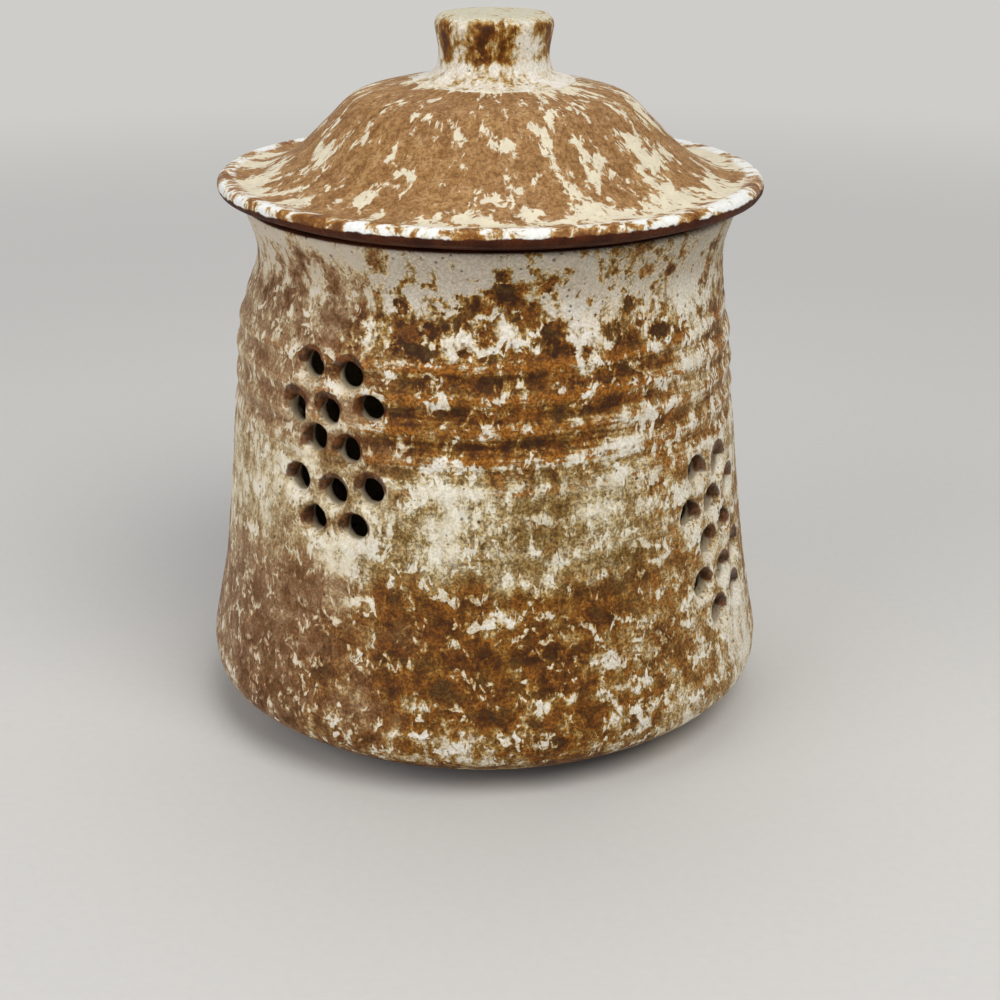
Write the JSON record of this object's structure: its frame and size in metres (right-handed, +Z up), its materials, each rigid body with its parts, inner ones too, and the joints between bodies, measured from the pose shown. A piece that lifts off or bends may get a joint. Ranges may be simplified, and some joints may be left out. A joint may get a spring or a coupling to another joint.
{
  "type": "garlic keeper jar",
  "caption": "Wheel-thrown stoneware garlic keeper: a jar with pierced groups of air holes, a finger-grooved upper wall, and a domed flanged lid with a knob.",
  "frame": {"origin": "centre of the foot, on the surface that the jar stands on", "axes": "+Z up along the jar's axis; -Y towards the viewer of the picture, +X to the right"},
  "size_m": [0.1572, 0.1572, 0.1906],
  "materials": {
    "jar_glaze": "satin rust, ochre and white speckled glaze",
    "lid_glaze": "matt caramel glaze with cream flecks",
    "knob_glaze": "satin ochre and white glaze"
  },
  "bodies": {
    "jar": {"jar_body": "jar_glaze"},
    "lid": {"lid": "lid_glaze", "lid_knob": "knob_glaze"}
  },
  "joints": [
    {"name": "lid_lift", "type": "slide", "parent": "jar", "child": "lid", "axis": [0, 0, 1], "range_m": [0, 0.06]}
  ]
}
